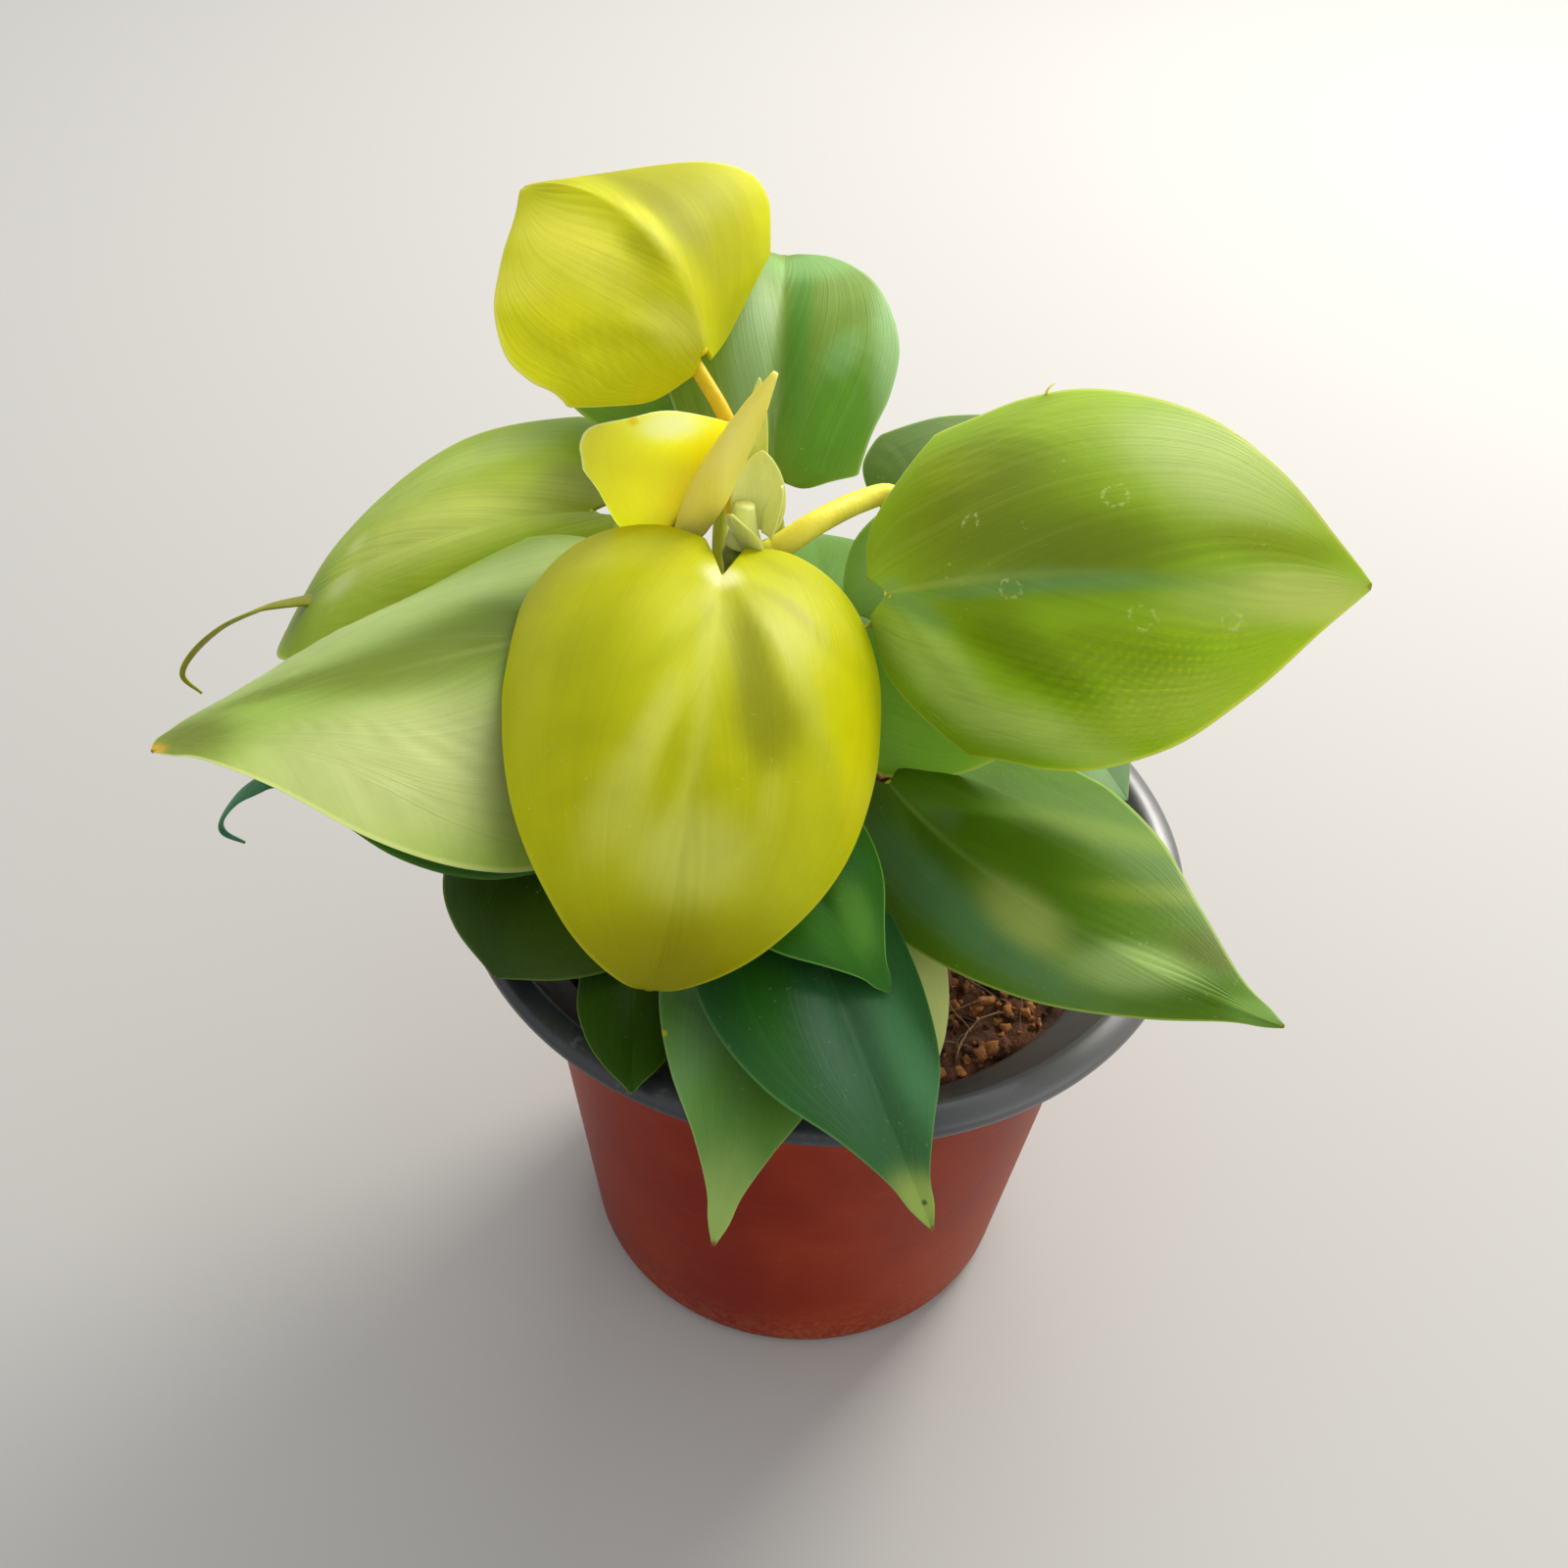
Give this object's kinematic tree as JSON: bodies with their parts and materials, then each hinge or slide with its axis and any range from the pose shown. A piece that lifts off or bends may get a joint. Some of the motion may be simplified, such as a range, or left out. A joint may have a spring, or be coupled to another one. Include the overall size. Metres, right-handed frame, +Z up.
{
  "type": "potted golden heartleaf philodendron",
  "caption": "Young climbing house plant with heart-shaped lime and yellow-green leaves on long stalks, in a thin tapered nursery pot filled with coco peat.",
  "frame": {"origin": "middle of the pot's underside, on the face that it rests on", "axes": "+Z up along the pot's axis, -Y towards the viewer of the picture, +X to the viewer's right"},
  "size_m": [0.1992, 0.1726, 0.1929],
  "materials": {
    "pot_plastic": "satin, red-brown outside and black inside and on the rim",
    "coco_peat": "rough crumbs and fibres",
    "stem_green": "smooth living stem",
    "sheath_pale": "satin living sheath",
    "leaf_front_heart_green": "satin living leaf",
    "leaf_right_large_green": "satin living leaf",
    "leaf_top_yellow_green": "satin living leaf",
    "leaf_back_grey_green": "satin living leaf",
    "leaf_back_left_green": "satin living leaf",
    "leaf_left_upper_green": "satin living leaf",
    "leaf_left_front_green": "satin living leaf",
    "leaf_right_lower_green": "satin living leaf",
    "leaf_front_dark_green": "satin living leaf",
    "leaf_front_small_green": "satin living leaf",
    "leaf_front_middle_green": "satin living leaf",
    "leaf_left_dark_green": "satin living leaf",
    "leaf_left_far_green": "satin living leaf",
    "leaf_front_left_green": "satin living leaf",
    "leaf_back_right_green": "satin living leaf",
    "leaf_under_right_green": "satin living leaf",
    "leaf_right_pale_green": "satin living leaf",
    "leaf_rim_right_green": "satin living leaf",
    "leaf_back_low_green": "satin living leaf",
    "leaf_young_green": "satin living leaf"
  },
  "bodies": {
    "root": {"pot": "pot_plastic", "soil": "coco_peat", "stem_main": "stem_green", "stem_front": "stem_green", "stem_right": "stem_green", "stem_left": "stem_green", "growing_tip": "sheath_pale", "leaf_front_heart": "leaf_front_heart_green", "leaf_right_large": "leaf_right_large_green", "leaf_top_yellow": "leaf_top_yellow_green", "leaf_back_grey": "leaf_back_grey_green", "leaf_back_left": "leaf_back_left_green", "leaf_left_upper": "leaf_left_upper_green", "leaf_left_front": "leaf_left_front_green", "leaf_right_lower": "leaf_right_lower_green", "leaf_front_dark": "leaf_front_dark_green", "leaf_front_small": "leaf_front_small_green", "leaf_front_middle": "leaf_front_middle_green", "leaf_left_dark": "leaf_left_dark_green", "leaf_left_far": "leaf_left_far_green", "leaf_front_left": "leaf_front_left_green", "leaf_back_right": "leaf_back_right_green", "leaf_under_right": "leaf_under_right_green", "leaf_right_pale": "leaf_right_pale_green", "leaf_rim_right": "leaf_rim_right_green", "leaf_back_low": "leaf_back_low_green", "leaf_young": "leaf_young_green"}
  },
  "joints": []
}
